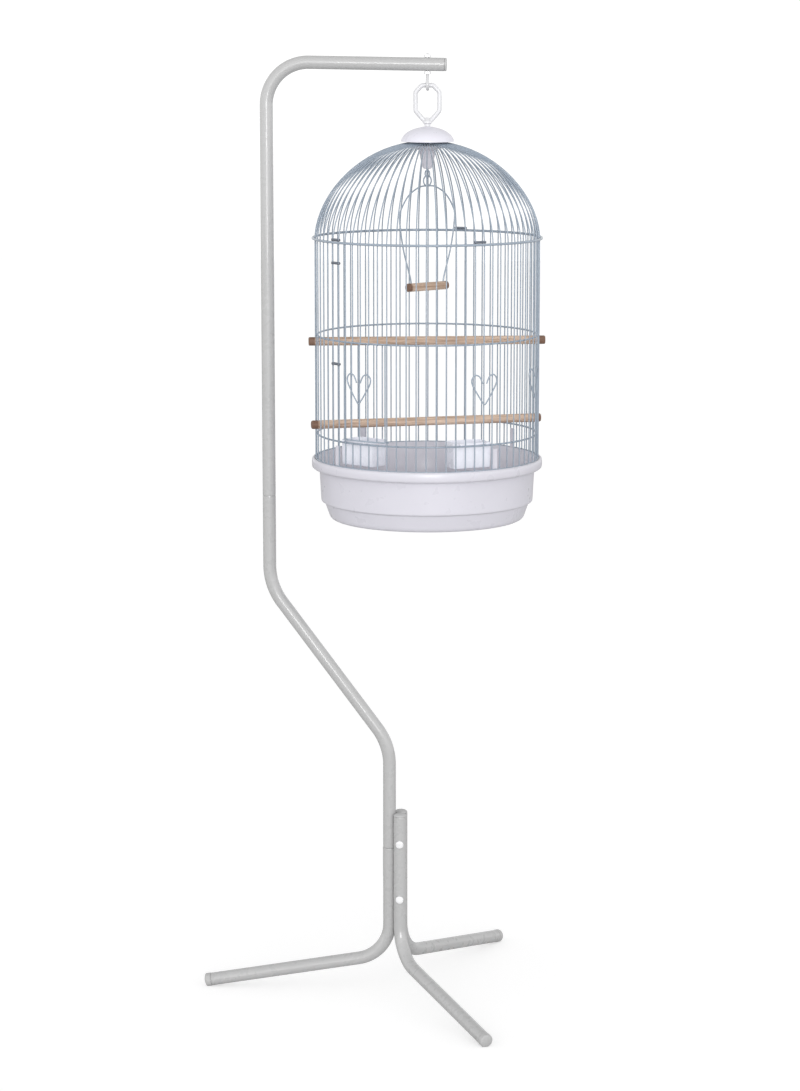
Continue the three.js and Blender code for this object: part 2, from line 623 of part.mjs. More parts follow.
// ---- Swing ---------------------------------------------------------------------------------------
function swing() {
  const { perchZ, perchHalf, shoulder, shoulderZ, turn } = SWING;
  const holeX = perchHalf - 6;
  const ringZ = SWING_PIVOT_Z - SWING_RING_R;
  const archZ = ringZ - SWING_RING_R;
  const side = (s) => [
    vec(s * holeX, 0, perchZ + 1),
    vec(s * holeX, 0, perchZ + 12),
    vec(s * shoulder, 0, shoulderZ),
    vec(s * (shoulder - 3), 0, shoulderZ + 15),
    vec(s * (shoulder - 17), 0, shoulderZ + 34),
    vec(s * (shoulder - 36), 0, shoulderZ + 45),
  ];
  const stations = [...side(-1), vec(0, 0, archZ), ...side(1).reverse()];
  const wireR = 1.1;
  const ring = new THREE.TorusGeometry(SWING_RING_R, 1, 4, 14).rotateX(Math.PI / 2).translate(0, 0, ringZ);
  const holes = [-1, 1].map((s) => post(wireR + GAP, perchZ, perchZ + 20, 8).translate(s * holeX, 0, 0));
  const dowel = crossBar(6, -perchHalf, perchHalf, 12).rotateZ(Math.PI / 2).translate(0, 0, perchZ);
  const group = new THREE.Group();
  group.add(named("swing_wire", join(sweep(stations, wireR, 4), ring), WHITE_WIRE));
  group.add(named("swing_perch", cut(dowel, ...holes), WOOD));
  group.rotation.z = turn;
  return group;
}

// ---- Assembly ------------------------------------------------------------------------------------
const hanger = new THREE.Group();
hanger.add(hangerLoop(), stemNut());

const cage = new THREE.Group();
cage.add(hanger, cageBody(), tray(), door(), swing());
for (const [place, angle] of Object.entries(CUP_ANGLES)) {
  cage.add(feederCup(`feeder_cup_${place}`, angle));
}
cage.position.x = CAGE_X;
cage.rotation.z = CAGE_TURN;

// The origin is on the floor, in the middle of the whole object's box.
const assembly = new THREE.Group();
assembly.add(stand(), cage);
const extent = new THREE.Box3().setFromObject(assembly, true);
assembly.position.set(-(extent.min.x + extent.max.x) / 2, -(extent.min.y + extent.max.y) / 2, 0);

const birdCageOnStand = new THREE.Group();
birdCageOnStand.add(assembly);

export default birdCageOnStand;
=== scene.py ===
"""A round bird cage on a bent tube stand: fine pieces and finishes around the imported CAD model."""

import math

import bmesh
import bpy
from mathutils import Matrix, Vector


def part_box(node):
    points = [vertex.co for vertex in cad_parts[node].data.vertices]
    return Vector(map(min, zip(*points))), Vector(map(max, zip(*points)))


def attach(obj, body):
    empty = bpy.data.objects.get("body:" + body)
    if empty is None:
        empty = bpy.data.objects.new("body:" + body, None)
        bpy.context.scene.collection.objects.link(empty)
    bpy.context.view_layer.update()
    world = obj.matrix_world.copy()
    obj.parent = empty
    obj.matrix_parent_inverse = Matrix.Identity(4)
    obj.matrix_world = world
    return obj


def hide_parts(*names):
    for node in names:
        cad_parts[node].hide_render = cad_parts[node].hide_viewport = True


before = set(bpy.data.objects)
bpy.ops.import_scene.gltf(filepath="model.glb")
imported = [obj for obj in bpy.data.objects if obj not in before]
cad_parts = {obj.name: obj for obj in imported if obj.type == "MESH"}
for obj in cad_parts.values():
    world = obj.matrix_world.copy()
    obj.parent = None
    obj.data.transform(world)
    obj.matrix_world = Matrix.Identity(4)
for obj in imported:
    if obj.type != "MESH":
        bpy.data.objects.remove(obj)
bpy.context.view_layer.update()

# ---- Places taken from the CAD model, in millimetres ---------------------------------------------
M = 0.001


def span(node):
    low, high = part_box(node)
    return low / M, high / M


def centre(node):
    low, high = span(node)
    return (low + high) / 2


def lowest(node):
    return span(node)[0].z


def highest(node):
    return span(node)[1].z


CAGE_X = centre("tray").x
POLE_X = centre("upper_joint_sleeve").x
POST_X = centre("lower_joint_sleeve").x
TRIPOD_X = POST_X + 10.8
ARM_Z = centre("arm_end_plug").z
ARM_DROP = 4  # how much lower the arm's end is than its bend
ARM_END_X = span("arm_tube")[1].x
UPPER_JOINT_Z = centre("upper_joint_sleeve").z
LOWER_JOINT_Z = centre("lower_joint_sleeve").z
LEG_TOP_Z = highest("leg_tube_front")
SIDE_LEG_X = centre("leg_bolt_upper").x
SIDE_LEG_Y = 11.2
BOLT_ZS = {"upper": centre("leg_bolt_upper").z, "lower": centre("leg_bolt_lower").z}

GAP = 0.3
TUBE_R = 9.5
ARM_BEND_R = 60
OFFSET_TOP_Z, OFFSET_FOOT_Z, OFFSET_BEND_R = 613, 376, 92
LEG_REACH, LEG_BEND_R, LEG_END_Z = 268, 55, 9.8
LEG_SLOPE = math.radians(9.6)
SIDE_LEG_TURN = math.pi / 3

CAGE_TURN = math.radians(4)
WIRE_COUNT = 72
WIRE_STEP = 2 * math.pi / WIRE_COUNT
FIRST_WIRE = math.radians(-1.25)
WIRE_R, THIN_WIRE_R = 1.0, 0.92
CAGE_R = 161
PANEL_WIRES = 9
BASE_RING_Z = lowest("wall_panel_1") + 1.3
LOWER_RING_Z = centre("lower_ring").z
MID_RING_Z = centre("middle_ring").z
DOME_BASE_Z = centre("dome_hoop").z
DOME_RISE, DOME_POWER = 137, 1.143
COLLAR_R = 26
DOOR_CENTRE = math.radians(-33.75)
DOOR_GAPS = 5
DOOR_R = CAGE_R + 2.6
DOOR_FOOT_Z, DOOR_HEAD_Z = lowest("door") + WIRE_R, highest("door") - WIRE_R
HEART_Z = 922
HEART_STAND_OFF = 2.3
PERCH_REACH = 171
# Degrees round the cage, from its front towards +X
HEART_AT = {"heart_right": 28.75, "heart_far_right": 68.75}
PERCH_AT = {"middle_perch": -86.25, "lower_perch": -76.25}
CUP_AT = {"left": -41.25, "right": 23.75}
CAP_RIM_Z = lowest("top_cap") + 5.2
CLAMP_FOOT_Z = lowest("clamp_boss")
HANGER_TOP_Z = highest("hanger_loop") - 3.3
HANGER_FOOT_Z = HANGER_TOP_Z - 50
SWING_TURN = math.radians(40)
EYE_Z = CLAMP_FOOT_Z - 7
SWING_PIVOT_Z = EYE_Z - 2.7

# ---- Light and camera ----------------------------------------------------------------------------
FLOOR_LIFT = 0.5
WHITE_BEHIND = 1.1
HORIZON_GLOW, OVERHEAD_GLOW = 1.42, 0.55
FRONT_SHARE, BACK_SHARE = 1.3, 0.7
SUN_STRENGTH, SUN_WIDTH = 1.0, math.radians(24)
SUN_WAY = (-0.12, 1, -0.12)
CAMERA_TURN, CAMERA_PITCH = math.radians(3.7), math.radians(9.88)
CAMERA_DISTANCE, AIM_Z, AIM_RIGHT = 4.38, 0.6745, 0.0048
LENS, SENSOR = 99, 36

# ---- Mesh building -------------------------------------------------------------------------------


def sweep(points, radius, sides=12, closed=False, rounded_ends=False):
    """A round bar along points. radius is one number, or one for each point."""
    pts = [Vector(p) for p in points]
    radii = [radius] * len(pts) if isinstance(radius, (int, float)) else list(radius)
    if rounded_ends:
        for end in (0, -1):
            inward = (pts[1] - pts[0]) if end == 0 else (pts[-2] - pts[-1])
            inward.normalize()
            tip, r = pts[end].copy(), radii[end]
            steps = [(1 - math.cos(a), math.sin(a)) for a in (0.25, 0.6, 1.0, math.pi / 2)]
            fresh = [(tip + inward * r * s, r * w) for s, w in steps]
            if end == 0:
                pts[:1] = [p for p, _ in fresh]
                radii[:1] = [w for _, w in fresh]
            else:
                pts[-1:] = [p for p, _ in reversed(fresh)]
                radii[-1:] = [w for _, w in reversed(fresh)]
    count = len(pts)
    tangents = []
    for i in range(count):
        before = pts[i - 1] if i or closed else pts[i]
        after = pts[(i + 1) % count] if i < count - 1 or closed else pts[i]
        tangents.append((after - before).normalized())
    side = tangents[0].orthogonal().normalized()
    verts, faces = [], []
    for i in range(count):
        if i:
            side = tangents[i - 1].rotation_difference(tangents[i]) @ side
        side = (side - tangents[i] * side.dot(tangents[i])).normalized()
        across = tangents[i].cross(side)
        for k in range(sides):
            a = 2 * math.pi * k / sides
            verts.append(pts[i] + radii[i] * (math.cos(a) * side + math.sin(a) * across))
    for i in range(count if closed else count - 1):
        j = (i + 1) % count
        for k in range(sides):
            n = (k + 1) % sides
            faces.append((i * sides + k, i * sides + n, j * sides + n, j * sides + k))
    if not closed:
        faces.append(tuple(reversed(range(sides))))
        faces.append(tuple(range((count - 1) * sides, count * sides)))
    return verts, faces


def torus(radius, wire, z=0.0, segments=96, sides=12):
    turns = [2 * math.pi * i / segments for i in range(segments)]
    return sweep([(radius * math.cos(a), radius * math.sin(a), z) for a in turns], wire, sides, closed=True)


def lathe(profile, segments=96):
    """A closed profile of (radius, height) turned about Z."""
    verts, rings, faces = [], [], []
    for r, z in profile:
        if r < 1e-6:
            rings.append([len(verts)] * segments)
            verts.append(Vector((0, 0, z)))
        else:
            rings.append(list(range(len(verts), len(verts) + segments)))
            for k in range(segments):
                a = 2 * math.pi * k / segments
                verts.append(Vector((r * math.cos(a), r * math.sin(a), z)))
    on_axis = profile[0][0] < 1e-6 and profile[-1][0] < 1e-6
    for i in range(len(profile) - 1 if on_axis else len(profile)):
        low, high = rings[i], rings[(i + 1) % len(profile)]
        for k in range(segments):
            n = (k + 1) % segments
            corners = []
            for v in (low[k], low[n], high[n], high[k]):
                if v not in corners:
                    corners.append(v)
            if len(corners) > 2:
                faces.append(tuple(corners))
    return verts, faces


def loft(rings):
    """A closed skin through rings of equal length, flat at both ends."""
    n = len(rings[0])
    verts = [Vector(p) for ring in rings for p in ring]
    faces = []
    for i in range(len(rings) - 1):
        for k in range(n):
            j = (k + 1) % n
            faces.append((i * n + k, i * n + j, (i + 1) * n + j, (i + 1) * n + k))
    faces.append(tuple(reversed(range(n))))
    faces.append(tuple(range((len(rings) - 1) * n, len(rings) * n)))
    return verts, faces


def slab(size, bevel=0.4):
    """A block with softened edges, about the origin."""
    bm = bmesh.new()
    bmesh.ops.create_cube(bm, size=1)
    bmesh.ops.scale(bm, vec=size, verts=bm.verts)
    bmesh.ops.bevel(bm, geom=bm.edges, offset=bevel, segments=2, affect="EDGES")
    verts = [v.co.copy() for v in bm.verts]
    faces = [tuple(v.index for v in f.verts) for f in bm.faces]
    bm.free()
    return verts, faces


def moved(shell, matrix):
    verts, faces = shell
    return [matrix @ Vector(v) for v in verts], faces


def shifted(shell, x=0.0, y=0.0, z=0.0):
    return moved(shell, Matrix.Translation((x, y, z)))


def filleted(start, corners, end, steps=18):
    """Points of a line whose corners, given as (point, radius), are rounded."""
    start, end = Vector(start), Vector(end)
    points = [start]
    at = [Vector(p) for p, _ in corners]
    for i, (_, r) in enumerate(corners):
        before = at[i - 1] if i else start
        after = at[i + 1] if i < len(corners) - 1 else end
        inward, outward = (before - at[i]).normalized(), (after - at[i]).normalized()
        half = inward.angle(outward) / 2
        middle = at[i] + (inward + outward).normalized() * (r / math.sin(half))
        first = at[i] + inward * (r / math.tan(half)) - middle
        last = at[i] + outward * (r / math.tan(half)) - middle
        turn = math.pi - 2 * half
        for k in range(steps + 1):
            a = math.sin((1 - k / steps) * turn) / math.sin(turn)
            b = math.sin(k / steps * turn) / math.sin(turn)
            points.append(middle + first * a + last * b)
    points.append(end)
    return points


def split_long(points, longest):
    """The same line with its long stretches split, for an even skin."""
    out = [points[0]]
    for a, b in zip(points, points[1:]):
        n = max(1, math.ceil((b - a).length / longest))
        out += [a.lerp(b, k / n) for k in range(1, n + 1)]
    return out


def spline(points, steps=6):
    """A smooth line through points."""
    pts = [Vector(p) for p in points]
    last = len(pts) - 1
    out = []
    for i in range(last):
        p1, p2 = pts[i], pts[i + 1]
        p0 = pts[i - 1] if i else p1 * 2 - p2
        p3 = pts[i + 2] if i < last - 1 else p2 * 2 - p1
        for k in range(steps):
            t = k / steps
            out.append(
                0.5 * (2 * p1 + (p2 - p0) * t + (2 * p0 - 5 * p1 + 4 * p2 - p3) * t * t)
                + 0.5 * (3 * p1 - p0 - 3 * p2 + p3) * t**3
            )
    out.append(pts[-1])
    return out


def make_mesh(name, shells):
    verts, faces = [], []
    for shell_verts, shell_faces in shells:
        first = len(verts)
        verts += [tuple(Vector(v) * M) for v in shell_verts]
        faces += [tuple(first + i for i in f) for f in shell_faces]
    mesh = bpy.data.meshes.new(name)
    mesh.from_pydata(verts, [], faces)
    bm = bmesh.new()
    bm.from_mesh(mesh)
    bmesh.ops.recalc_face_normals(bm, faces=bm.faces)
    bm.to_mesh(mesh)
    bm.free()
    return mesh


def finish_mesh(mesh, sharp):
    mesh.shade_smooth()
    mesh.set_sharp_from_angle(angle=math.radians(sharp))


def piece(name, shells, body, material, stands_for=(), cutters=(), sharp=38):
    """One visible piece of closed shells, in millimetres, riding on a CAD body."""
    mesh = make_mesh(name, shells)
    obj = bpy.data.objects.new(name, mesh)
    bpy.context.scene.collection.objects.link(obj)
    for i, cutter in enumerate(cutters):
        tool = bpy.data.objects.new(f"{name}_tool_{i}", make_mesh(f"{name}_tool_{i}", [cutter]))
        bpy.context.scene.collection.objects.link(tool)
        cut = obj.modifiers.new("cut", "BOOLEAN")
        cut.operation, cut.solver, cut.object = "DIFFERENCE", "EXACT", tool
        evaluated = obj.evaluated_get(bpy.context.evaluated_depsgraph_get())
        fresh = bpy.data.meshes.new_from_object(evaluated)
        obj.modifiers.clear()
        obj.data = fresh
        bpy.data.objects.remove(tool)
    finish_mesh(obj.data, sharp)
    obj.data.materials.clear()
    obj.data.materials.append(material)
    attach(obj, body)
    if stands_for:
        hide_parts(*stands_for)
    return obj


# ---- Finishes ------------------------------------------------------------------------------------


def map_range(tree, value, low, high, start=0.0, end=1.0):
    """A socket that goes from low to high while value goes from start to end."""
    node = tree.nodes.new("ShaderNodeMapRange")
    tree.links.new(value, node.inputs["Value"])
    for name, number in {"From Min": start, "From Max": end, "To Min": low, "To Max": high}.items():
        node.inputs[name].default_value = number
    return node.outputs["Result"]


class Nodes:
    """A material's node tree, written as short calls."""

    def __init__(self, name):
        self.material = bpy.data.materials.new(name)
        self.material.use_nodes = True
        self.tree = self.material.node_tree
        self.shader = self.tree.nodes["Principled BSDF"]

    def add(self, kind, **inputs):
        node = self.tree.nodes.new(kind)
        for key, value in inputs.items():
            if key in node.bl_rna.properties:
                setattr(node, key, value)
            else:
                self.feed(node.inputs[key.replace("_", " ")], value)
        return node

    def feed(self, socket, value):
        if isinstance(value, bpy.types.NodeSocket):
            self.tree.links.new(value, socket)
        else:
            socket.default_value = value

    def place(self):
        return self.add("ShaderNodeTexCoord").outputs["Object"]

    def stretched(self, scale, rotation=(0, 0, 0)):
        node = self.add("ShaderNodeMapping", Vector=self.place())
        node.inputs["Scale"].default_value = scale
        node.inputs["Rotation"].default_value = rotation
        return node.outputs["Vector"]

    def noise(self, vector, scale, detail=3.0, roughness=0.5):
        kind = "ShaderNodeTexNoise"
        node = self.add(kind, Vector=vector, Scale=scale, Detail=detail, Roughness=roughness)
        return node.outputs["Fac"]

    def ramp(self, fac, stops):
        node = self.add("ShaderNodeValToRGB", Fac=fac)
        elements = node.color_ramp.elements
        while len(elements) < len(stops):
            elements.new(0.5)
        for element, (at, colour) in zip(elements, stops):
            element.position = at
            element.color = (*colour, 1) if len(colour) == 3 else colour
        return node.outputs["Color"]

    def remap(self, value, low, high, start=0.0, end=1.0):
        return map_range(self.tree, value, low, high, start, end)

    def bump(self, height, strength, distance, normal=None):
        node = self.add("ShaderNodeBump", Height=height, Strength=strength, Distance=distance)
        if normal is not None:
            self.feed(node.inputs["Normal"], normal)
        return node.outputs["Normal"]

    def math(self, operation, first, second=0.0):
        node = self.add("ShaderNodeMath", operation=operation)
        self.feed(node.inputs[0], first)
        self.feed(node.inputs[1], second)
        return node.outputs["Value"]

    def set(self, **inputs):
        for key, value in inputs.items():
            self.feed(self.shader.inputs[key.replace("_", " ")], value)
        return self.material


def tinted(colour, share):
    return tuple(min(1.0, c * share) for c in colour)


def enamel(name, colour, roughness, peel, mottling, coat):
    """Sprayed or dipped paint: a faint orange peel, slow drifts of tone and a little uneven gloss."""
    n = Nodes(name)
    where = n.place()
    drift = n.noise(where, 14, 4)
    tone = n.ramp(drift, [(0.3, tinted(colour, 1 - mottling)), (0.7, tinted(colour, 1 + mottling))])
    gloss = n.remap(n.noise(where, 90, 3), roughness - 0.03, roughness + 0.04, 0.3, 0.7)
    skin = n.bump(n.noise(where, 420, 2), peel, 0.0006)
    return n.set(Base_Color=tone, Roughness=gloss, Normal=skin, Coat_Weight=coat)


def moulded(name, colour, roughness, fine=0.06):
    """Injection-moulded plastic: soft gloss, slow sink marks and a trace of dust in the tone."""
    n = Nodes(name)
    where = n.place()
    tone = n.ramp(n.noise(where, 9, 5, 0.6), [(0.32, tinted(colour, 0.965)), (0.7, tinted(colour, 1.02))])
    gloss = n.remap(n.noise(where, 55, 4), roughness - 0.05, roughness + 0.1, 0.3, 0.7)
    sink = n.bump(n.noise(where, 26, 2), 0.1, 0.002)
    grain = n.bump(n.noise(where, 900, 1), fine, 0.0003, sink)
    return n.set(Base_Color=tone, Roughness=gloss, Normal=grain, Coat_Weight=0.2, Coat_Roughness=0.18)


def plated(name, colour, roughness, metallic=0.85):
    """Zinc-plated steel with fine turning marks."""
    n = Nodes(name)
    marks = n.noise(n.stretched((1, 1, 14)), 260, 3)
    tone = n.ramp(n.noise(n.place(), 120, 3), [(0.3, tinted(colour, 0.86)), (0.7, colour)])
    gloss = n.remap(marks, roughness - 0.08, roughness + 0.12, 0.3, 0.7)
    return n.set(Base_Color=tone, Roughness=gloss, Metallic=metallic, Normal=n.bump(marks, 0.12, 0.0004))


def dowel_wood(name, axis_turn, reach):
    """Turned dowel: long grain along the stick, darker streaks, fine pores, and ends stained darker."""
    n = Nodes(name)
    along = n.stretched((1, 1, 1), (0, 0, -axis_turn))
    parts = n.add("ShaderNodeSeparateXYZ", Vector=along)
    slow = n.math("MULTIPLY", parts.outputs["Y"], 0.06)
    joined = n.add("ShaderNodeCombineXYZ", X=parts.outputs["X"], Y=slow, Z=parts.outputs["Z"])
    grain = n.noise(joined.outputs[0], 420, 5, 0.65)
    broad = n.noise(joined.outputs[0], 90, 3)
    streaks = n.remap(n.math("ADD", grain, broad), 0, 1, 0.7, 1.3)
    middle = tuple((a + b) / 2 for a, b in zip(WOOD_LIGHT, WOOD_DARK))
    tone = n.ramp(streaks, [(0.1, WOOD_DARK), (0.45, middle), (0.8, WOOD_LIGHT)])
    from_middle = n.math("ABSOLUTE", n.math("ADD", parts.outputs["Y"], CAGE_X * M * math.sin(axis_turn)))
    stain = n.remap(from_middle, 0, 0.85, (reach - 11) * M, (reach - 8) * M)
    stained = n.add("ShaderNodeMix", data_type="RGBA")
    n.feed(stained.inputs[0], stain)
    n.feed(stained.inputs[6], tone)
    n.feed(stained.inputs[7], (*STAIN, 1))
    pores = n.bump(grain, 0.35, 0.0006)
    gloss = n.remap(grain, 0.5, 0.72, 0.3, 0.7)
    return n.set(Base_Color=stained.outputs[2], Roughness=gloss, Normal=pores)


WOOD_LIGHT, WOOD_DARK, STAIN = (0.71, 0.54, 0.42), (0.35, 0.23, 0.16), (0.12, 0.05, 0.025)
GREY_PAINT = enamel("grey_paint", (0.46, 0.46, 0.46), 0.28, peel=0.04, mottling=0.02, coat=0.6)
HOOK_COAT = enamel("hook_coat", (0.62, 0.62, 0.63), 0.3, peel=0.05, mottling=0.03, coat=0.3)
WIRE_COAT = enamel("wire_coat", (0.31, 0.365, 0.435), 0.24, peel=0.05, mottling=0.06, coat=0.3)
WHITE_PLASTIC = moulded("white_plastic", (0.65, 0.64, 0.70), 0.3)
CAP_PLASTIC = moulded("cap_plastic", (0.75, 0.74, 0.81), 0.3)
HANGER_PLASTIC = moulded("hanger_plastic", (0.7, 0.7, 0.72), 0.3)
CUP_PLASTIC = moulded("cup_plastic", (0.84, 0.85, 0.92), 0.25)
GREY_PLASTIC = moulded("grey_plastic", (0.47, 0.47, 0.47), 0.45, fine=0.12)
ZINC = plated("zinc_plate", (0.86, 0.86, 0.87), 0.28)
BRIGHT_ZINC = plated("bright_zinc", (0.93, 0.93, 0.94), 0.3, metallic=0.2)
CLIP_METAL = plated("clip_metal", (0.2, 0.22, 0.26), 0.4)

# ---- Stand ---------------------------------------------------------------------------------------


def tube(points, flare=0.0):
    """A steel tube seen from outside: its ends are eased, and the first one may be belled out."""
    radius, soft = TUBE_R, 0.5
    points = split_long([Vector(p) for p in points], 60)
    first, last = points[0], points[-1]
    lead = (points[1] - first).normalized()
    trail = (points[-2] - last).normalized()
    head = [first, first + lead * soft * 0.3, first + lead * soft, first + lead * soft * 3]
    radii = [radius - soft, radius - soft * 0.3, radius, radius]
    if flare:
        head += [first + lead * s for s in (2.4, 3.6, 5, 39, 41, 46, 48)]
        belled = [radius + flare, radius + flare * 0.6, radius + flare * 0.6, radius + flare * 0.6]
        radii = [r + flare for r in radii] + belled + [radius + flare * 0.55, radius, radius]
    body = [p for p in points[1:-1] if (p - first).length > (49 if flare else 3)]
    line = head + body + [last + trail * soft * s for s in (3, 1, 0.3, 0)]
    radii += [radius] * len(body) + [radius, radius, radius - soft * 0.3, radius - soft]
    return sweep(line, radii, 40)


def stand():
    corner = (POLE_X, 0, ARM_Z + ARM_DROP)
    arm = filleted((POLE_X, 0, UPPER_JOINT_Z), [(corner, ARM_BEND_R)], (ARM_END_X, 0, ARM_Z), 28)
    piece("arm_tube_look", [tube(arm)], "stand", GREY_PAINT, ["arm_tube"])
    corners = [((POLE_X, 0, OFFSET_TOP_Z), OFFSET_BEND_R), ((POST_X, 0, OFFSET_FOOT_Z), OFFSET_BEND_R)]
    offset = filleted((POLE_X, 0, UPPER_JOINT_Z - GAP), corners, (POST_X, 0, LOWER_JOINT_Z), 18)
    piece("offset_tube_look", [tube(offset)], "stand", GREY_PAINT, ["offset_tube"])
    legs()
    for name, x, z in (("upper", POLE_X, UPPER_JOINT_Z), ("lower", POST_X, LOWER_JOINT_Z)):
        node = f"{name}_joint_sleeve"
        sleeve = shifted(lathe([(8, -35), (8, 35), (6.8, 35), (6.8, -35)], 32), x, 0, z)
        piece(node + "_look", [sleeve], "stand", ZINC, [node])
    for level in BOLT_ZS:
        leg_joint(level)
    arm_end()


def leg_line(top_z):
    corner_z = LEG_END_Z + LEG_REACH * math.tan(LEG_SLOPE)
    return filleted((0, 0, top_z), [((0, 0, corner_z), LEG_BEND_R)], (LEG_REACH, 0, LEG_END_Z), 24)


def legs():
    places = {
        "left": (POST_X, 0, math.pi),
        "front": (SIDE_LEG_X, -SIDE_LEG_Y, -SIDE_LEG_TURN),
        "back": (SIDE_LEG_X, SIDE_LEG_Y, SIDE_LEG_TURN),
    }
    for name, (x, y, turn) in places.items():
        at = Matrix.Translation((x, y, 0)) @ Matrix.Rotation(turn, 4, "Z")
        is_left = name == "left"
        line = leg_line(LOWER_JOINT_Z - GAP if is_left else LEG_TOP_Z)
        skin = tube(line, flare=0.5 if is_left else 0)
        node = f"leg_tube_{name}"
        piece(node + "_look", [moved(skin, at)], "stand", GREY_PAINT, [node])
        node = f"foot_plug_{name}"
        piece(node + "_look", [moved(foot_plug(), at)], "stand", GREY_PLASTIC, [node])
        if not is_left:
            node = f"top_plug_{name}"
            cap = shifted(top_plug(), x, y, 0)
            piece(node + "_look", [cap], "stand", GREY_PLASTIC, [node])


def foot_plug():
    edge = [(9.9 - 2.9 * (1 - math.cos(a)), 6.2 + 3 * math.sin(a)) for a in (0.0, 0.4, 0.8, 1.2)]
    profile = [(0, -14), (8, -14), (8, GAP), (9.4, GAP), (9.9, 0.9), *edge]
    profile += [(7, 9.3), (3.5, 10.3), (0, 10.6)]
    along_leg = Matrix.Rotation(math.pi / 2 + LEG_SLOPE, 4, "Y")
    tilt = Matrix.Translation((LEG_REACH, 0, LEG_END_Z)) @ along_leg
    verts, faces = moved(lathe(profile, 48), tilt)
    return [Vector((v.x, v.y, max(v.z, 0))) for v in verts], faces


def top_plug():
    z = LEG_TOP_Z + GAP
    profile = [(0, z - 12), (8, z - 12), (8, z), (9.2, z), (9.5, z + 0.4), (9.4, z + 1.3), (8.6, z + 2.4)]
    profile += [(7, z + 3.4), (4.5, z + 4.2), (2, z + 4.5), (0, z + 4.6)]
    return lathe(profile, 48)


def leg_joint(level):
    z = BOLT_ZS[level]
    low, high = span(f"leg_tab_{level}")
    tab = shifted(slab((high.x - low.x, 2.6, 26), 0.5), (low.x + high.x) / 2, 0, z)
    piece(f"leg_tab_{level}_look", [tab], "stand", GREY_PAINT, [f"leg_tab_{level}"])
    outside = SIDE_LEG_Y + TUBE_R + GAP
    face = [(5.8, 2.2), (5.6, 2.9), (5.1, 3.4), (4.4, 3.6), (3.9, 3.65), (0, 3.8)]
    head = lathe([(0, 0), (5.5, 0), (5.8, 0.4), *face], 40)
    to_front = Matrix.Translation((SIDE_LEG_X, -outside, z)) @ Matrix.Rotation(math.pi / 2, 4, "X")
    shank = sweep([(SIDE_LEG_X, -outside - 1, z), (SIDE_LEG_X, outside + 3.5, z)], 3, 24)
    node = f"leg_bolt_{level}"
    piece(node + "_look", [moved(head, to_front), shank], "stand", BRIGHT_ZINC, [node])
    hexagon = [(3.3, 0), (5.2, 0), (5.4, 0.4), (5.4, 3.6), (5.1, 4)]
    dome = [(4.3 * math.cos(a), 4 + 3.5 * math.sin(a)) for a in (0.0, 0.4, 0.8, 1.2)]
    to_back = Matrix.Translation((SIDE_LEG_X, outside, z)) @ Matrix.Rotation(-math.pi / 2, 4, "X")
    nut = [lathe([*hexagon, (3.3, 4)], 6), lathe([(0, 3.6), (4.3, 3.6), *dome, (0, 7.5)], 32)]
    node = f"leg_nut_{level}"
    piece(node + "_look", [moved(s, to_back) for s in nut], "stand", ZINC, [node])


def arm_end():
    profile = [(0, -12), (8, -12), (8, GAP), (9.2, GAP), (9.5, 0.6)]
    profile += [(9.4, 1.6), (8.9, 2.5), (8.2, 3), (0, 3)]
    slope = math.atan2(ARM_DROP, ARM_END_X - POLE_X)
    at = Matrix.Translation((ARM_END_X, 0, ARM_Z)) @ Matrix.Rotation(math.pi / 2 + slope, 4, "Y")
    plug = moved(lathe(profile, 48), at)
    piece("arm_end_plug_look", [plug], "stand", GREY_PLASTIC, ["arm_end_plug"])
    bowl_r, wire = 7.5, 2.25
    bowl_z = lowest("stand_hook") + wire + bowl_r - 0.15
    line = [(CAGE_X, 0, highest("stand_hook")), (CAGE_X, 0, ARM_Z), (CAGE_X, 0, bowl_z + 16)]
    line += [(CAGE_X, -0.5, bowl_z + 12.5), (CAGE_X, -3, bowl_z + 9), (CAGE_X, -6, bowl_z + 4.5)]
    turns = [math.radians(185) * i / 14 for i in range(15)]
    line += [(CAGE_X, -bowl_r * math.cos(a), bowl_z - bowl_r * math.sin(a)) for a in turns]
    hook = sweep(spline(line, 4), wire, 20, rounded_ends=True)
    piece("stand_hook_look", [hook], "stand", HOOK_COAT, ["stand_hook"])
    for node in ("hook_nut_top", "hook_nut_under"):
        low, high = lowest(node), highest(node)
        edge = 0.4
        hexagon = [(2.6, low), (4.7, low), (5, low + edge), (5, high - edge), (4.7, high), (2.6, high)]
        nut = shifted(lathe(hexagon, 6), CAGE_X, 0, 0)
        piece(node + "_look", [nut], "stand", ZINC, [node], sharp=30)


# ---- Cage ----------------------------------------------------------------------------------------

AT_CAGE = Matrix.Translation((CAGE_X, 0, 0)) @ Matrix.Rotation(CAGE_TURN, 4, "Z")


def around(angle, radius, z):
    """A place on the cage, before its turn: angle 0 faces -Y and turns towards +X."""
    return Vector((radius * math.sin(angle), -radius * math.cos(angle), z))


def cage_piece(name, shells, body, material, stands_for=(), cutters=(), sharp=38):
    shells = [moved(s, AT_CAGE) for s in shells]
    cutters = [moved(c, AT_CAGE) for c in cutters]
    return piece(name, shells, body, material, stands_for, cutters, sharp)


def wire_angle(index):
    return FIRST_WIRE + index * WIRE_STEP


def arc(radius, z, start, end):
    count = 24
    return [around(start + (end - start) * i / count, radius, z) for i in range(count + 1)]


def dome_line(angle):
    tilt_end = math.acos(COLLAR_R / CAGE_R)
    line = []
    for i in range(19):
        tilt = tilt_end * i / 18
        z = DOME_BASE_Z + DOME_RISE * math.sin(tilt) ** DOME_POWER
        line.append(around(angle, CAGE_R * math.cos(tilt), z))
    return line


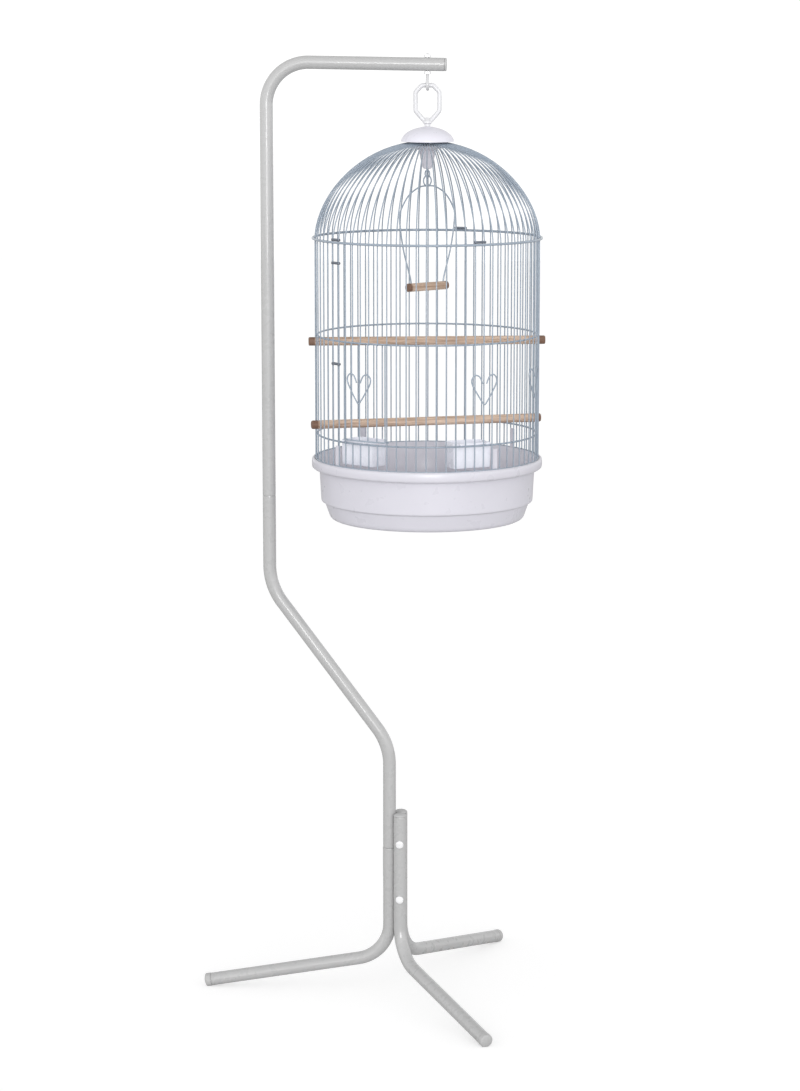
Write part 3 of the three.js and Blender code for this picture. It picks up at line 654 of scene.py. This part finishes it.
def cage_wires():
    """Upright wires that run on over the dome. In the doorway they stop at the rings."""
    for panel in range(WIRE_COUNT // PANEL_WIRES):
        shells = []
        for index in range(PANEL_WIRES):
            angle = wire_angle(-10 + panel * PANEL_WIRES + index)
            over = dome_line(angle)
            in_doorway = panel == 0 and abs(angle - DOOR_CENTRE) < (DOOR_GAPS / 2 - 0.1) * WIRE_STEP
            if in_doorway:
                stub = [around(angle, CAGE_R, z) for z in (BASE_RING_Z, LOWER_RING_Z + 1.6)]
                shells.append(sweep(stub, THIN_WIRE_R, 10))
            foot = MID_RING_Z - 1.6 if in_doorway else BASE_RING_Z
            shells.append(sweep([around(angle, CAGE_R, foot), *over], THIN_WIRE_R, 10))
        wall = f"wall_panel_{panel}" if panel else "doorway_panel"
        stands_for = [wall, f"dome_panel_{panel + 1}"]
        cage_piece(f"wires_{panel + 1}", shells, "cage", WIRE_COAT, stands_for)


def cage_rings():
    rings = {
        "base_ring": (CAGE_R, 1.3, BASE_RING_Z, ()),
        "lower_ring_look": (158.2, 1.3, LOWER_RING_Z, ["lower_ring"]),
        "middle_ring_look": (158.2, 1.3, MID_RING_Z, ["middle_ring"]),
        "dome_hoop_look": (164.2, 1.8, DOME_BASE_Z, ["dome_hoop"]),
        "collar_ring": (COLLAR_R + 0.6, 1.2, DOME_BASE_Z + DOME_RISE * 0.986, ()),
    }
    for name, (radius, wire, z, stands_for) in rings.items():
        cage_piece(name, [torus(radius, wire, z, 144)], "cage", WIRE_COAT, stands_for)


HEART_HALF = [(3.2, 7), (5.5, 13), (9, 18), (15, 19.5), (20, 14), (19, 6), (12, -6), (4, -18)]


def heart(name, node, angle, radius, body):
    def on(x, h):
        return around(angle + x / radius, radius, HEART_Z + h)

    left = [on(-x, h) for x, h in HEART_HALF]
    right = [on(x, h) for x, h in reversed(HEART_HALF)]
    line = spline([*left, on(0, -22), *right], 6)
    wire = sweep(line, WIRE_R, 12, rounded_ends=True)
    cage_piece(name, [wire], body, WIRE_COAT, [node])


def perch(name, node, z, angle, wood):
    reach, radius = PERCH_REACH, 6.2
    profile = [(0, -reach), (5.2, -reach), (5.9, -reach + 0.6), (radius, -reach + 1.8)]
    profile += [(radius, -reach + 4), *[(radius, -reach + 40 * i + 20) for i in range(8)]]
    profile += [(radius, reach - 4), (radius, reach - 1.8), (5.9, reach - 0.6), (5.2, reach), (0, reach)]
    at = Matrix.Translation((0, 0, z)) @ Matrix.Rotation(angle, 4, "Z")
    dowel = moved(lathe(profile, 40), at @ Matrix.Rotation(math.pi / 2, 4, "X"))
    depth = reach - CAGE_R + 4
    slots = []
    for side in (-1, 1):
        slot = shifted(slab((2.6, 2 * depth, 40), 0.2), 0, side * (reach + 2), 0)
        slots.append(moved(slot, at))
    cage_piece(name, [dowel], "cage", wood, [node], slots)


def cage_top():
    cap_r, cap_rise, bore_r, neck_r = 38, 21.1, 4.7, 7.6
    turns = [math.pi / 2 * i / 16 for i in range(15)]
    outer = [(cap_r * math.cos(a), cap_rise * math.sin(a) ** 1.08) for a in turns]
    outer = [(r, z) for r, z in outer if r > 8.5]
    inner = [((r - 2.2) * 0.99, max(0, z - 2.4)) for r, z in reversed(outer)]
    inner = [(r, z) for r, z in inner if r > 7.7]
    neck = [(bore_r, -5.2), (neck_r, -5.2), (neck_r, 17.8)]
    profile = [*neck, *inner, *outer, (8, 21.0), (bore_r, cap_rise)]
    profile = [(r, z + CAP_RIM_Z) for r, z in profile]
    cage_piece("top_cap_look", [lathe(profile, 80)], "cage", CAP_PLASTIC, ["top_cap"])
    outer = [(0, 0), (4.6, 0), (5.7, 0.5), (6.4, 1.4), (7.5, 3.6), (8.6, 8), (10, 15), (12, 25)]
    outer += [(14, 27.6), (32.4, 31)]
    inner = [(33, 31.6), (33, 33), (32.6, 33.4), (12, 33.4), (9.5, 25.5), (6.6, 8), (0, 7)]
    profile = [(r, z + CLAMP_FOOT_Z) for r, z in outer + inner]
    boss = lathe(profile, 64)
    cage_piece("clamp_boss_look", [boss], "cage", WHITE_PLASTIC, ["clamp_boss"])
    turn = Matrix.Rotation(SWING_TURN + math.pi / 2, 4, "Z") @ Matrix.Rotation(math.pi / 2, 4, "X")
    ring = shifted(moved(torus(5, 1, 0, 40, 12), turn), 0, 0, EYE_Z)
    stalk = sweep([(0, 0, EYE_Z + 4.6), (0, 0, CLAMP_FOOT_Z + 1)], 1.2, 16)
    cage_piece("swing_eye_look", [ring, stalk], "cage", WIRE_COAT, ["swing_eye"])


def seam_clips():
    """Dark straps, each crimped round two neighbouring wires, that close the seams of the wire sheet."""
    strap_r, strap_height = 0.7, 2.4
    half_gap = CAGE_R * WIRE_STEP / 2
    reach = WIRE_R + 0.9
    path = []
    for side in (1, -1):
        for i in range(9):
            a = side * math.pi / 2 + math.pi * (i / 8 - 1)
            path.append((side * half_gap + reach * math.cos(a), reach * math.sin(a), 0))
    strap = moved(sweep(path, strap_r, 10, closed=True), Matrix.Diagonal((1, 1, strap_height, 1)))
    on_hoop = DOME_BASE_Z + 3.6
    gaps_and_heights = [(-10.5, on_hoop), (-10.5, 1094), (-10.5, 952), (5.5, on_hoop), (32.5, on_hoop)]
    for i, (gap, z) in enumerate(gaps_and_heights, 1):
        rise = max(0, z - DOME_BASE_Z) / DOME_RISE
        radius = CAGE_R * math.cos(math.asin(rise ** (1 / DOME_POWER)))
        at = around(wire_angle(gap), radius, z)
        turn = Matrix.Rotation(wire_angle(gap), 4, "Z")
        clip = moved(strap, Matrix.Translation(at) @ turn)
        cage_piece(f"seam_clip_{i}", [clip], "cage", CLIP_METAL)


def hanger():
    bar, half = 3.3, 17
    top, foot = HANGER_TOP_Z, HANGER_FOOT_Z
    corners = [
        ((-half, 0, foot + 14), 7),
        ((-half, 0, top - 9.5), 6),
        ((-8, 0, top), 6),
        ((8, 0, top), 6),
        ((half, 0, top - 9.5), 6),
        ((half, 0, foot + 14), 7),
    ]
    line = filleted((-2, 0, foot - 3), corners, (2, 0, foot - 3), 6)
    loop = sweep(line, bar, 20)
    stem_foot = lowest("hanger_loop")
    profile = [(0, stem_foot), (3.8, stem_foot), (4.2, stem_foot + 0.6), (4.2, foot - 4)]
    profile += [(6.4, foot - 3.6), (7, foot - 3), (7, foot - 0.4), (6.4, foot + 0.6)]
    profile += [(4.6, foot + 2.4), (3.4, foot + 4.4), (0, foot + 4.6)]
    shells = [loop, lathe(profile, 40)]
    cage_piece("hanger_loop_look", shells, "hanger", HANGER_PLASTIC, ["hanger_loop"])
    low, high = lowest("stem_nut"), highest("stem_nut")
    hexagon = [(4.7, low), (7.6, low), (8, low + 0.5), (8, high - 0.5), (7.6, high), (4.7, high)]
    cage_piece("stem_nut_look", [lathe(hexagon, 6)], "hanger", ZINC, ["stem_nut"], sharp=30)


def tray():
    floor_edge = [(0, 717), (133.5, 717), (136.5, 717.4), (139, 718.6), (141, 720.8)]
    foot_band = [(142.2, 723.5), (142.7, 725), (147.8, 739.5), (148.3, 741)]
    step = [(148.9, 742.1), (150, 742.7), (152.3, 743.2), (153.3, 744), (153.6, 745.4)]
    side = [(153.68, 747), (155.82, 788), (155.9, 789.6), (156.5, 790.8)]
    rim_outside = [(158, 791.4), (163, 791.5), (165, 792), (166.4, 793.2), (167, 795.2), (167, 803)]
    rim_top = [(166.5, 804.9), (165.3, 806.1), (164.2, 806.5), (163.2, 806.3), (163, 805.8)]
    wire_groove = [(163, 803.8), (159, 803.8), (159, 805.8), (158.6, 806.4), (157.8, 806.3)]
    inside = [(157.2, 805.4), (153.4, 801), (151, 746), (146.5, 743.5), (139.5, 722.8)]
    inside += [(137, 720.6), (134, 720), (0, 720)]
    outline = [*floor_edge, *foot_band, *step, *side, *rim_outside, *rim_top, *wire_groove, *inside]
    shells = [lathe(outline, 160)]
    for n in range(4):
        angle = wire_angle(-10) - WIRE_STEP / 2 + n * math.pi / 2
        lug = shifted(slab((9, 2, 31), 0.6), 0, -CAGE_R + 2.5, 819.5)
        shells.append(moved(lug, Matrix.Rotation(angle, 4, "Z")))
    cage_piece("tray_look", shells, "tray", WHITE_PLASTIC, ["tray"], sharp=50)


def door():
    first = DOOR_CENTRE - DOOR_GAPS / 2 * WIRE_STEP
    inset = 1.6 / DOOR_R
    left, right = first + inset, first + DOOR_GAPS * WIRE_STEP - inset
    angles = [left, *[first + i * WIRE_STEP for i in range(1, DOOR_GAPS)], right]
    uprights = [[around(a, DOOR_R, z) for z in (DOOR_FOOT_Z, DOOR_HEAD_Z)] for a in angles]
    shells = [sweep(line, WIRE_R, 12) for line in uprights]
    for z in (DOOR_FOOT_Z, DOOR_HEAD_Z):
        shells.append(sweep(arc(DOOR_R, z, left, right), WIRE_R, 12, rounded_ends=True))
    for wall_wire in (left - inset, right + inset):
        eye = torus(2.3, 0.8, 0, 24, 10)
        at = around(wall_wire, CAGE_R, DOOR_FOOT_Z)
        shells.append(shifted(eye, at.x, at.y, at.z))
    cage_piece("door_look", shells, "door", WIRE_COAT, ["door"])
    heart_at = DOOR_CENTRE - WIRE_STEP / 2
    heart("door_heart_look", "door_heart", heart_at, DOOR_R + HEART_STAND_OFF, "door")


def cup_outline(width, depth, corner, inset, z):
    """A cup's outline at a height: flat at the back, rounded at the two front corners."""
    w, d, r = width / 2 - inset, depth - inset, corner - inset
    points = [(-w, inset), (0, inset), (w, inset), (w, (d - r) / 2)]
    for k in range(9):
        a = math.pi / 2 * k / 8
        points.append((w - r + r * math.cos(a), d - r + r * math.sin(a)))
    points += [(0, d)]
    for k in range(9):
        a = math.pi / 2 * (1 + k / 8)
        points.append((-w + r + r * math.cos(a), d - r + r * math.sin(a)))
    points += [(-w, (d - r) / 2)]
    return [Vector((x, y, z)) for x, y in points]


def feeder_cup(place, angle):
    width, depth, height, wall, back = 58, 38, 36, 1.8, 152.5
    rings = [(3, 0), (1.6, 0.5), (0.9, 1.8), (0.5, 20), (0.3, 31), (0, 32), (0, height - 0.7)]
    rings += [(0.3, height - 0.1), (0.9, height), (wall - 0.3, height - 0.2), (wall, height - 1)]
    rings += [(wall + 0.4, 4), (wall + 1.4, 2.2), (5, wall)]
    skin = loft([cup_outline(width, depth, 12, inset, z) for inset, z in rings])
    reach = 158.2 + 2 - back
    shells = [skin]
    for gaps in (-1.5, 1.5):
        tab = slab((4, reach + 3, 2), 0.5)
        shells.append(shifted(tab, gaps * WIRE_STEP * back, 1.5 - reach / 2, height - 1))
    node = f"feeder_cup_{place}"
    foot = lowest(node)
    at = Matrix.Rotation(angle, 4, "Z") @ Matrix.Translation((0, -back, foot))
    cage_piece(node + "_look", [moved(s, at) for s in shells], node, CUP_PLASTIC, [node])


def swing():
    perch_z, half, shoulder, shoulder_z = centre("swing_perch").z, 37.5, 52, 1150
    ring_r = 7.3
    ring_z = SWING_PIVOT_Z - ring_r

    def side(s):
        hole = s * (half - 6)
        return [
            (hole, 0, perch_z + 1),
            (hole, 0, perch_z + 12),
            (s * (shoulder - 7), 0, perch_z + 55),
            (s * shoulder, 0, shoulder_z),
            (s * (shoulder - 3), 0, shoulder_z + 15),
            (s * (shoulder - 17), 0, shoulder_z + 34),
            (s * (shoulder - 36), 0, shoulder_z + 45),
        ]

    line = spline([*side(-1), (0, 0, ring_z - ring_r), *reversed(side(1))], 6)
    upright = Matrix.Rotation(math.pi / 2, 4, "X")
    ring = shifted(moved(torus(ring_r, 1, 0, 48, 12), upright), 0, 0, ring_z)
    turn = Matrix.Rotation(SWING_TURN, 4, "Z")
    shells = [moved(s, turn) for s in (sweep(line, 1.1, 12, rounded_ends=True), ring)]
    cage_piece("swing_wire_look", shells, "swing", WIRE_COAT, ["swing_wire"])
    profile = [(0, -half), (5, -half), (5.8, -half + 0.7), (6, -half + 1.8), (6, 0), (6, half - 1.8)]
    profile += [(5.8, half - 0.7), (5, half), (0, half)]
    lying = Matrix.Translation((0, 0, perch_z)) @ Matrix.Rotation(math.pi / 2, 4, "Y")
    dowel = moved(lathe(profile, 40), turn @ lying)
    wood = dowel_wood("swing_wood", CAGE_TURN + SWING_TURN + math.pi / 2, half + 4)
    cage_piece("swing_perch_look", [dowel], "swing", wood, ["swing_perch"])


# ---- Everything ----------------------------------------------------------------------------------

stand()
hanger()
cage_top()
cage_wires()
cage_rings()
seam_clips()
for heart_name, degrees in HEART_AT.items():
    heart(heart_name + "_look", heart_name, math.radians(degrees), CAGE_R + HEART_STAND_OFF, "cage")
for perch_name, degrees in PERCH_AT.items():
    turn = math.radians(degrees)
    grain = dowel_wood(perch_name + "_wood", CAGE_TURN + turn, PERCH_REACH)
    perch(perch_name + "_look", perch_name, centre(perch_name).z, turn, grain)
tray()
door()
for cup_place, degrees in CUP_AT.items():
    feeder_cup(cup_place, math.radians(degrees))
swing()

# ---- Floor, light and camera ---------------------------------------------------------------------


def floor():
    """A pale floor, which looks a little lighter than the light that falls on it makes it."""
    size = 14.0
    mesh = bpy.data.meshes.new("floor")
    corners = [(-size, -size, 0), (size, -size, 0), (size, size, 0), (-size, size, 0)]
    mesh.from_pydata(corners, [], [(0, 1, 2, 3)])
    obj = bpy.data.objects.new("floor", mesh)
    bpy.context.scene.collection.objects.link(obj)
    n = Nodes("pale_floor")
    stops = [(0.3, (0.62, 0.62, 0.62)), (0.7, (0.64, 0.64, 0.64))]
    tone = n.ramp(n.noise(n.place(), 1.5, 3), stops)
    seen = n.add("ShaderNodeLightPath").outputs["Is Camera Ray"]
    lift = n.remap(seen, 0, FLOOR_LIFT)
    n.set(Base_Color=tone, Roughness=0.9, Specular_IOR_Level=0.1)
    n.set(Emission_Color=(1, 1, 1, 1), Emission_Strength=lift)
    obj.data.materials.append(n.material)


def sky():
    """White surroundings, brighter low down and in front than overhead and behind, on a white backdrop."""
    world = bpy.data.worlds.new("studio")
    bpy.context.scene.world = world
    world.use_nodes = True
    tree = world.node_tree
    background = tree.nodes["Background"]
    background.inputs["Color"].default_value = (1, 1, 1, 1)
    where = tree.nodes.new("ShaderNodeTexCoord")
    parts = tree.nodes.new("ShaderNodeSeparateXYZ")
    tree.links.new(where.outputs["Generated"], parts.inputs[0])
    glow = map_range(tree, parts.outputs["Z"], HORIZON_GLOW, OVERHEAD_GLOW, 0, 0.9)
    seen = tree.nodes.new("ShaderNodeLightPath")
    facing = map_range(tree, parts.outputs["Y"], FRONT_SHARE, BACK_SHARE, -1, 1)
    both = tree.nodes.new("ShaderNodeMath")
    both.operation = "MULTIPLY"
    tree.links.new(glow, both.inputs[0])
    tree.links.new(facing, both.inputs[1])
    choice = tree.nodes.new("ShaderNodeMix")
    tree.links.new(seen.outputs["Is Camera Ray"], choice.inputs["Factor"])
    tree.links.new(both.outputs["Value"], choice.inputs["A"])
    choice.inputs["B"].default_value = WHITE_BEHIND
    tree.links.new(choice.outputs["Result"], background.inputs["Strength"])


def studio():
    scene = bpy.context.scene
    scene.view_settings.view_transform = "Standard"
    sky()
    sun = bpy.data.lights.new("soft_sun", "SUN")
    sun.energy, sun.angle = SUN_STRENGTH, SUN_WIDTH
    obj = bpy.data.objects.new("soft_sun", sun)
    scene.collection.objects.link(obj)
    obj.rotation_euler = Vector(SUN_WAY).to_track_quat("-Z", "Y").to_euler()


def camera():
    data = bpy.data.cameras.new("camera")
    data.lens, data.sensor_width = LENS, SENSOR
    obj = bpy.data.objects.new("camera", data)
    bpy.context.scene.collection.objects.link(obj)
    right = Vector((math.cos(CAMERA_TURN), math.sin(CAMERA_TURN), 0))
    level = Vector((-math.sin(CAMERA_TURN), math.cos(CAMERA_TURN), 0))
    forward = level * math.cos(CAMERA_PITCH) - Vector((0, 0, math.sin(CAMERA_PITCH)))
    aim = Vector((TRIPOD_X * M, 0, AIM_Z)) + right * AIM_RIGHT
    obj.location = aim - forward * CAMERA_DISTANCE
    obj.rotation_euler = forward.to_track_quat("-Z", "Y").to_euler()
    bpy.context.scene.camera = obj


floor()
studio()
camera()


bpy.context.view_layer.update()
